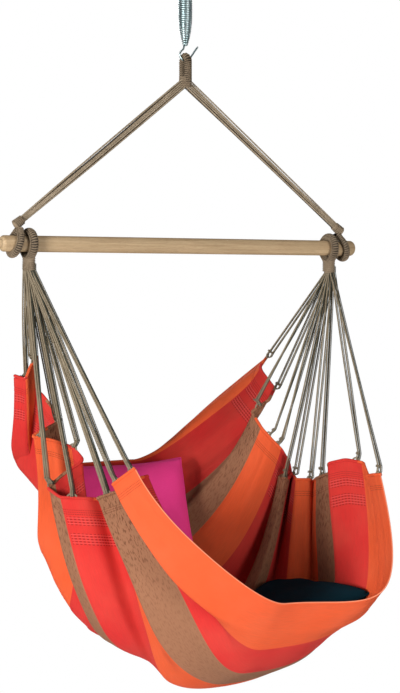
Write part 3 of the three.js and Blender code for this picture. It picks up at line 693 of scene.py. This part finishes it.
def thread_line(across):
    """One thread of the cloth from its left hem over its middle to its right hem"""
    middle = Vector(sag_line[int(round(across * (len(sag_line) - 1)))])
    t = np.linspace(0, 1, half_points)[:, None]
    kept = np.minimum(t / fold_fade_share, 1)
    halves = []
    for side in (-1, 1):
        hem = hem_point(side, across, gather_share)
        fold = hem_point(side, across) - hem
        places, middle_pulls, hem_pulls = zip(*pull_shares[side])
        first = middle + Vector((side * abs(hem.x) * np.interp(across, places, middle_pulls), 0, 0))
        towards = (clew_throat(side) - hem).normalized()
        second = hem - towards * np.interp(across, places, hem_pulls) * (hem - middle).length
        rise = np.interp(across, edge_rise_shares, edge_rises) if side > 0 else 0
        halves.append((1 - t) ** 3 * np.array(middle) + 3 * t * (1 - t) ** 2 * np.array(first)
                      + 3 * t * t * (1 - t) * np.array(second) + t ** 3 * np.array(hem)
                      + kept * kept * (3 - 2 * kept) * np.array(fold)
                      + np.sin(pi * t) * np.array((0, 0, rise)))
    return np.concatenate([halves[0][::-1], halves[1][1:]])


def ripple(*place):
    return noise.noise(Vector(place))


def gather_height(place, s, total):
    """How far the cloth stands off its smooth shape: lengthwise gathers, slack, and the sewn hem"""
    away = min(s, total - s)
    end = 0 if s < total / 2 else 40
    gather = exp(-away / gather_fade)
    fine = ripple(place * 46 + end, s * 2.2, 3.1) * fine_gather * gather
    broad = ripple(place * 17, s * 3.0, 9.7) * broad_gather * (0.35 + gather)
    slack = ripple(place * 6, s * 5.0, 21.3) * slack_height
    height = (fine + broad) * (0.3 + 0.7 * min(away / calm_at_hem, 1)) + slack
    sunk = max(exp(-((away - row) / stitch_sink_width) ** 2) for row in stitch_rows)
    height += hem_lift * (away < hem_depth) - stitch_sink * sunk
    return height * min(place / calm_at_edge, (cloth_width - place) / calm_at_edge, 1)


grid, distances, lengths = [], [], []
for i in range(across_count + 1):
    line = thread_line(i / across_count)
    run = distances_along(line)
    total = run[-1]
    inner = np.linspace(hem_rows[-1], total - hem_rows[-1], middle_rows + 2)[1:-1]
    at = np.concatenate([hem_rows, inner, [total - d for d in reversed(hem_rows)]])
    grid.append(places_on(line, run, at))
    distances.append(at)
    lengths.append(total)
grid, distances = np.array(grid), np.array(distances)
rows = grid.shape[1]
along_step, across_step = np.gradient(grid, axis=1), np.gradient(grid, axis=0)
facing = np.cross(along_step, across_step)
facing /= np.linalg.norm(facing, axis=2)[..., None]
for i in range(across_count + 1):
    for j in range(rows):
        place = i / across_count * cloth_width
        grid[i][j] += facing[i][j] * gather_height(place, distances[i][j], lengths[i])
cloth = Finish("striped_cotton", 0.9)
place, warp_at, weft_at = cloth.laid_place()
hem_distance = cloth.add("ShaderNodeAttribute", {}, attribute_name="hem_distance")["Fac"]


def between(value, low, high):
    return cloth.product(cloth.calc("GREATER_THAN", value, low), cloth.calc("LESS_THAN", value, high))


def stripe_share(letter):
    """Where the stripes of one colour are"""
    share = 0.0
    for index, stripe in enumerate(stripe_order):
        if stripe == letter:
            low, high = stripe_edges[index - 1] + stripe_margin, stripe_edges[index] - stripe_margin
            share = cloth.calc("MAXIMUM", share, between(warp_at, low, high))
    return share


ramp = cloth.nodes.new("ShaderNodeValToRGB")
stops = ramp.color_ramp.elements
ramp.color_ramp.interpolation = "CONSTANT"
for index, letter in enumerate(stripe_order):
    start = stripe_edges[index - 1] / cloth_width if index else 0
    stop = stops.new(start) if index else stops[0]
    stop.position = start
    stop.color = (*stripe_colours[letter], 1)
stops.remove(stops[-1])
cloth.join(cloth.product(warp_at, 1 / cloth_width), ramp.inputs[0])
stripes = ramp.outputs[0]
slub = cloth.mottle(cloth.stretched(place, (420, 30, 1)), 1.0, 3.0)
# Paler in soft patches spread at random over the cloth
pale_patches = cloth.mottle(cloth.object_place(), 9.0, 3.0)
colour = cloth.mix(cloth.spread(slub, 0.5, -0.08), stripes, thread_shade)
colour = cloth.mix(cloth.spread(pale_patches, 0.28, -0.08), colour, pale_patch_colour)
colour = cloth.mix(0.4, colour, stripes)

# The rows of dark stitches along the hem
seams = 0.0
for row in stitch_rows:
    seams = cloth.calc("MAXIMUM", seams, cloth.calc("COMPARE", hem_distance, row, stitch_half))
stitch = cloth.calc("GREATER_THAN", cloth.wave(warp_at, stitch_pitch), -0.45)
colour = cloth.mix(cloth.product(seams, stitch, 0.55), colour, stitch_red)

# The brown stripes' short dark marks, closest near the hem
marks = cloth.mottle(cloth.stretched(place, (330, 70, 1)), 1.0, 2.0)
near_hem = cloth.held(cloth.spread(hem_distance, -2.2, 0.95), 0.25, 0.8)
dash = cloth.held(cloth.spread(marks, 9.0, -4.6), 0.0, 1.0)
colour = cloth.mix(cloth.product(dash, near_hem, stripe_share("B")), colour, brown_gap)

# The red stripes' two bands of open work near the hem: slots between rows of pale threads, sunk and painted
# dark as their shade
slot_across, slot_along = cloth.wave(warp_at, lace_pitch_across), cloth.wave(hem_distance, lace_pitch_along)
bands = cloth.calc("MAXIMUM", *[between(hem_distance, *band) for band in lace_bands])
lace = cloth.product(bands, stripe_share("R"))
slots = cloth.product(cloth.calc("GREATER_THAN", slot_across, -0.1),
                      cloth.calc("GREATER_THAN", slot_along, 0.25), lace)
threads = cloth.product(cloth.calc("LESS_THAN", slot_along, -0.55), lace)
# Painted shade in the open-work slots
colour = cloth.mix(cloth.product(slots, 0.6), colour, red_slot_shade)
colour = cloth.mix(cloth.product(threads, 0.28), colour, lace_thread)
weave = cloth.product(cloth.wave(warp_at, thread_pitch), cloth.wave(weft_at, thread_pitch))
height = cloth.spread(slots, -3.0, cloth.spread(slub, 0.8, weave))
striped_cotton = cloth.done(colour, height, 0.0004)


def mark_hem_distance(piece, away):
    """Each point's distance from the nearer hem, which the stitches and the open work follow"""
    layer = piece.data.attributes.new("hem_distance", "FLOAT", "POINT")
    layer.data.foreach_set("value", away.astype(np.float32).ravel())


build = {"points": [tuple(p) for p in grid.reshape(-1, 3)], "faces": [], "uv": []}
for i in range(across_count):
    for j in range(rows - 1):
        corners = ((i, j), (i, j + 1), (i + 1, j + 1), (i + 1, j))
        build["faces"].append(tuple(a * rows + b for a, b in corners))
        build["uv"].extend((a / across_count * cloth_width, distances[a][b]) for a, b in corners)
cloth_surface = BVHTree.FromPolygons([Vector(p) for p in build["points"]], build["faces"])
sling = make_piece("striped_cloth", build, striped_cotton, "seat", "sling_cloth")
mark_hem_distance(sling, np.minimum(distances, np.array(lengths)[:, None] - distances))
bpy.ops.object.select_all(action="DESELECT")
sling.select_set(True)
bpy.context.view_layer.objects.active = sling
thicken = sling.modifiers.new("thickness", "SOLIDIFY")
thicken.thickness = cloth_thickness
thicken.offset = 0
bpy.ops.object.modifier_apply(modifier=thicken.name)
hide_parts("sling")

# Hem rolls and selvages. The cloth's ends are rolled over the hem cords, and along each long edge the weft
# turns back round firmer threads. Both belong to the cloth.
hem_roll_radius, hem_roll_sides, hem_roll_places = 0.0042, 10, 400
hem_roll_girth, hem_roll_depth = 0.026, 0.01
selvage_radius, selvage_sides, selvage_step, selvage_pitch = 0.0016, 8, 0.006, 0.0022
for side, label in both_sides:
    build = new_build()
    roll = [hem_frame(side, i / hem_roll_places)[0] for i in range(hem_roll_places + 1)]
    line, at = resampled(roll, hem_cord_step)
    add_tube(build, line, at, hem_roll_radius, hem_roll_sides)
    build["uv"] = [(along / at[-1] * cloth_width, turn * hem_roll_girth) for turn, along in build["uv"]]
    hem_roll = make_piece(f"hem_roll_{label}", build, striped_cotton, "seat", "sling_cloth")
    mark_hem_distance(hem_roll, np.full(len(hem_roll.data.vertices), hem_roll_depth))

firm = Finish("selvage_cotton", 0.88)
_, _, along = firm.laid_place()
picks = firm.wave(along, selvage_pitch)
colour = firm.mix(firm.spread(picks, 0.3, 0.4), (0.72, 0.16, 0.07), (0.88, 0.34, 0.2))
build = new_build()
for edge in (grid[0], grid[-1]):
    add_cord(build, edge, selvage_step, selvage_radius, selvage_sides)
selvage = make_piece("selvages", build, firm.done(colour, picks, 0.0003), "seat", "sling_cloth")

# Cushions. Two loose square cushions, a pink one against the back and a dark one on the seat. Each is two
# squares of plain cotton sewn along the edges over a soft filling, full in the middle and drawn in along its
# sides. It lies against the cloth, which presses it in.
cushion_width, cushion_crown, cushion_edge, side_draw = 0.42, 0.12, 0.008, 0.07
cushion_count, cushion_fill = 64, 0.6
crease_height, spoke_height, spoke_count, ruck_height, edge_wave = 0.007, 0.0022, 9, 0.0028, 0.003
cloth_gap = 0.006
seam_radius, seam_sides, seam_step = 0.0019, 7, 0.004
cushion_thread_pitch = 0.0013


def cloth_place(across, along):
    line = thread_line(across)
    half = (len(line) - 1) / 2
    return Vector(line[int(round(half + along * half))])


def cushion_place(u, v, face, seed, rim):
    """A point of a cushion's skin, as distances along, across and off its middle"""
    x = u * cushion_width / 2 * (1 - side_draw * (1 - v * v))
    y = v * cushion_width / 2 * (1 - side_draw * (1 - u * u))
    full = sqrt(max((1 - u ** 4) * (1 - v ** 4), 0))
    crease = ripple(u * 2.4, v * 2.4, seed) * crease_height
    spoke = sin(spoke_count * atan2(v, u) + seed) * spoke_height * (u * u + v * v) ** 1.5
    ruck = ripple(u * 9, v * 9, seed + 5 * face) * ruck_height * max(abs(u), abs(v)) ** 3
    thick = face * (cushion_edge * (not rim) / 2 + full * (cushion_crown / 2 + crease + spoke + ruck))
    wave = ripple(u * 7, v * 7, seed) * edge_wave if rim else 0
    return x, y, thick + wave


def make_cushion(name, material, node, across_shares, along_shares, lift, seed, turn=0.0, yaw=0.0):
    """A cushion with its seam, laid on a patch of the cloth and pressed in where the cloth meets it"""
    corners = [cloth_place(u, t) for u in across_shares for t in along_shares]
    centre = sum(corners, Vector()) / 4
    along_axis = (corners[1] - corners[0] + corners[3] - corners[2]).normalized()
    facing = along_axis.cross(corners[2] - corners[0] + corners[3] - corners[1]).normalized()
    for axis, angle in ((facing, turn), (Vector((0, 0, 1)), yaw)):
        along_axis.rotate(Quaternion(axis, angle))
        facing = Quaternion(axis, angle) @ facing
    across_axis = facing.cross(along_axis)
    middle = centre + facing * lift
    count = cushion_count
    build, index = new_build(), {}
    for face in (1, -1):
        for i in range(count + 1):
            for j in range(count + 1):
                rim = i in (0, count) or j in (0, count)
                if face < 0 and rim:
                    index[face, i, j] = index[1, i, j]
                    continue
                x, y, off = cushion_place(2 * j / count - 1, 2 * i / count - 1, face, seed, rim)
                point = centre + along_axis * x + across_axis * y + facing * (lift + off)
                reach = point - middle
                length = reach.length
                hit, _, _, distance = cloth_surface.ray_cast(middle, reach.normalized(), length + cloth_gap)
                if hit:
                    point = middle + reach * (max(distance - cloth_gap, 0) / length)
                index[face, i, j] = len(build["points"])
                build["points"].append(tuple(point))
    for face in (1, -1):
        for i in range(count):
            for j in range(count):
                corners = [(i, j), (i, j + 1), (i + 1, j + 1), (i + 1, j)][::face]
                build["faces"].append(tuple(index[face, a, b] for a, b in corners))
                build["uv"].extend((b / count * cushion_width + (face < 0), a / count * cushion_width)
                                   for a, b in corners)
    cushion = make_piece(name, build, material, node, name, node)
    rim = [index[1, 0, j] for j in range(count)] + [index[1, i, count] for i in range(count)]
    rim += [index[1, count, j] for j in range(count, 0, -1)] + [index[1, i, 0] for i in range(count, -1, -1)]
    seam = new_build()
    add_cord(seam, [build["points"][k] for k in rim], seam_step, seam_radius, seam_sides)
    make_piece(f"{name}_seam", seam, material, node, name)


def cushion_material(name, light, dark):
    """Plain woven cotton over a filling: fine weave and soft mottling"""
    cotton = Finish(name, 0.95, specular=0.08)
    _, warp_at, weft_at = cotton.laid_place()
    where = cotton.object_place()
    tone = cotton.mottle(where, 11.0, 4.0)
    slub = cotton.mottle(where, 260.0, 2.0)
    share = cotton.spread(slub, 0.4, cotton.spread(tone, 0.7, -0.1))
    weave = cotton.product(*[cotton.wave(part, cushion_thread_pitch) for part in (warp_at, weft_at)])
    return cotton.done(cotton.mix(share, dark, light), cotton.spread(slub, 0.6, weave), 0.0003)


pink_cotton = cushion_material("pink_cotton", (1.0, 0.07, 0.33), (0.85, 0.045, 0.24))
dark_cotton = cushion_material("dark_cotton", (0.004, 0.034, 0.052), (0.0015, 0.015, 0.024))
make_cushion("pink_cushion", pink_cotton, "back_cushion", (0.603, 0.893), (-0.535, 0.185), lift=0.07,
             seed=2.7, turn=radians(8), yaw=radians(-18))
make_cushion("dark_cushion", dark_cotton, "seat_cushion", (0.13, 0.47), (-0.02, 0.58), lift=-0.005, seed=6.1)

# Studio. A pale round floor half a metre under the seat, a white surround, and three soft lights: the main
# one from the left, one from the front and one from behind. The chair hangs free from its upper eye.
floor_drop, floor_radius, floor_sides = 2.35, 1.9, 96
surround_light, surround_seen = 0.2, 1.0

bpy.ops.mesh.primitive_circle_add(vertices=floor_sides, radius=floor_radius, fill_type="NGON",
                                  location=(0, 0, -floor_drop))
floor = bpy.context.object
floor.name = floor.data.name = "studio_floor"
bpy.ops.object.transform_apply(location=True, rotation=True, scale=True)
floor_paint = Finish("floor_paint", 0.7)
floor_paint.shader["Base Color"].default_value = (0.86, 0.86, 0.85, 1)
floor.data.materials.append(floor_paint.material)

world = bpy.data.worlds.new("studio_surround")
scene.world = world
world.use_nodes = True
tree = world.node_tree
background = tree.nodes["Background"]
background.inputs[0].default_value = (1, 1, 1, 1)
seen = tree.nodes.new("ShaderNodeLightPath")
level = tree.nodes.new("ShaderNodeMapRange")
level.inputs["To Min"].default_value = surround_light
level.inputs["To Max"].default_value = surround_seen
tree.links.new(seen.outputs["Is Camera Ray"], level.inputs["Value"])
tree.links.new(level.outputs[0], background.inputs[1])


def add_light(name, place, target, size, power):
    data = bpy.data.lights.new(name, "AREA")
    data.size = size
    data.energy = power
    light = bpy.data.objects.new(name, data)
    scene.collection.objects.link(light)
    light.location = place
    light.rotation_euler = (Vector(target) - Vector(place)).to_track_quat("-Z", "Y").to_euler()


add_light("key_light", (-5.8, -2.4, -1.0), (0, 0, -1.35), 1.7, 510)
add_light("front_light", (0.6, -5.6, -1.5), (0, 0, -1.4), 2.4, 190)
add_light("back_light", (2.4, 5.4, 0.2), (0, 0, -1.3), 2.4, 170)
scene.view_settings.view_transform = "Standard"
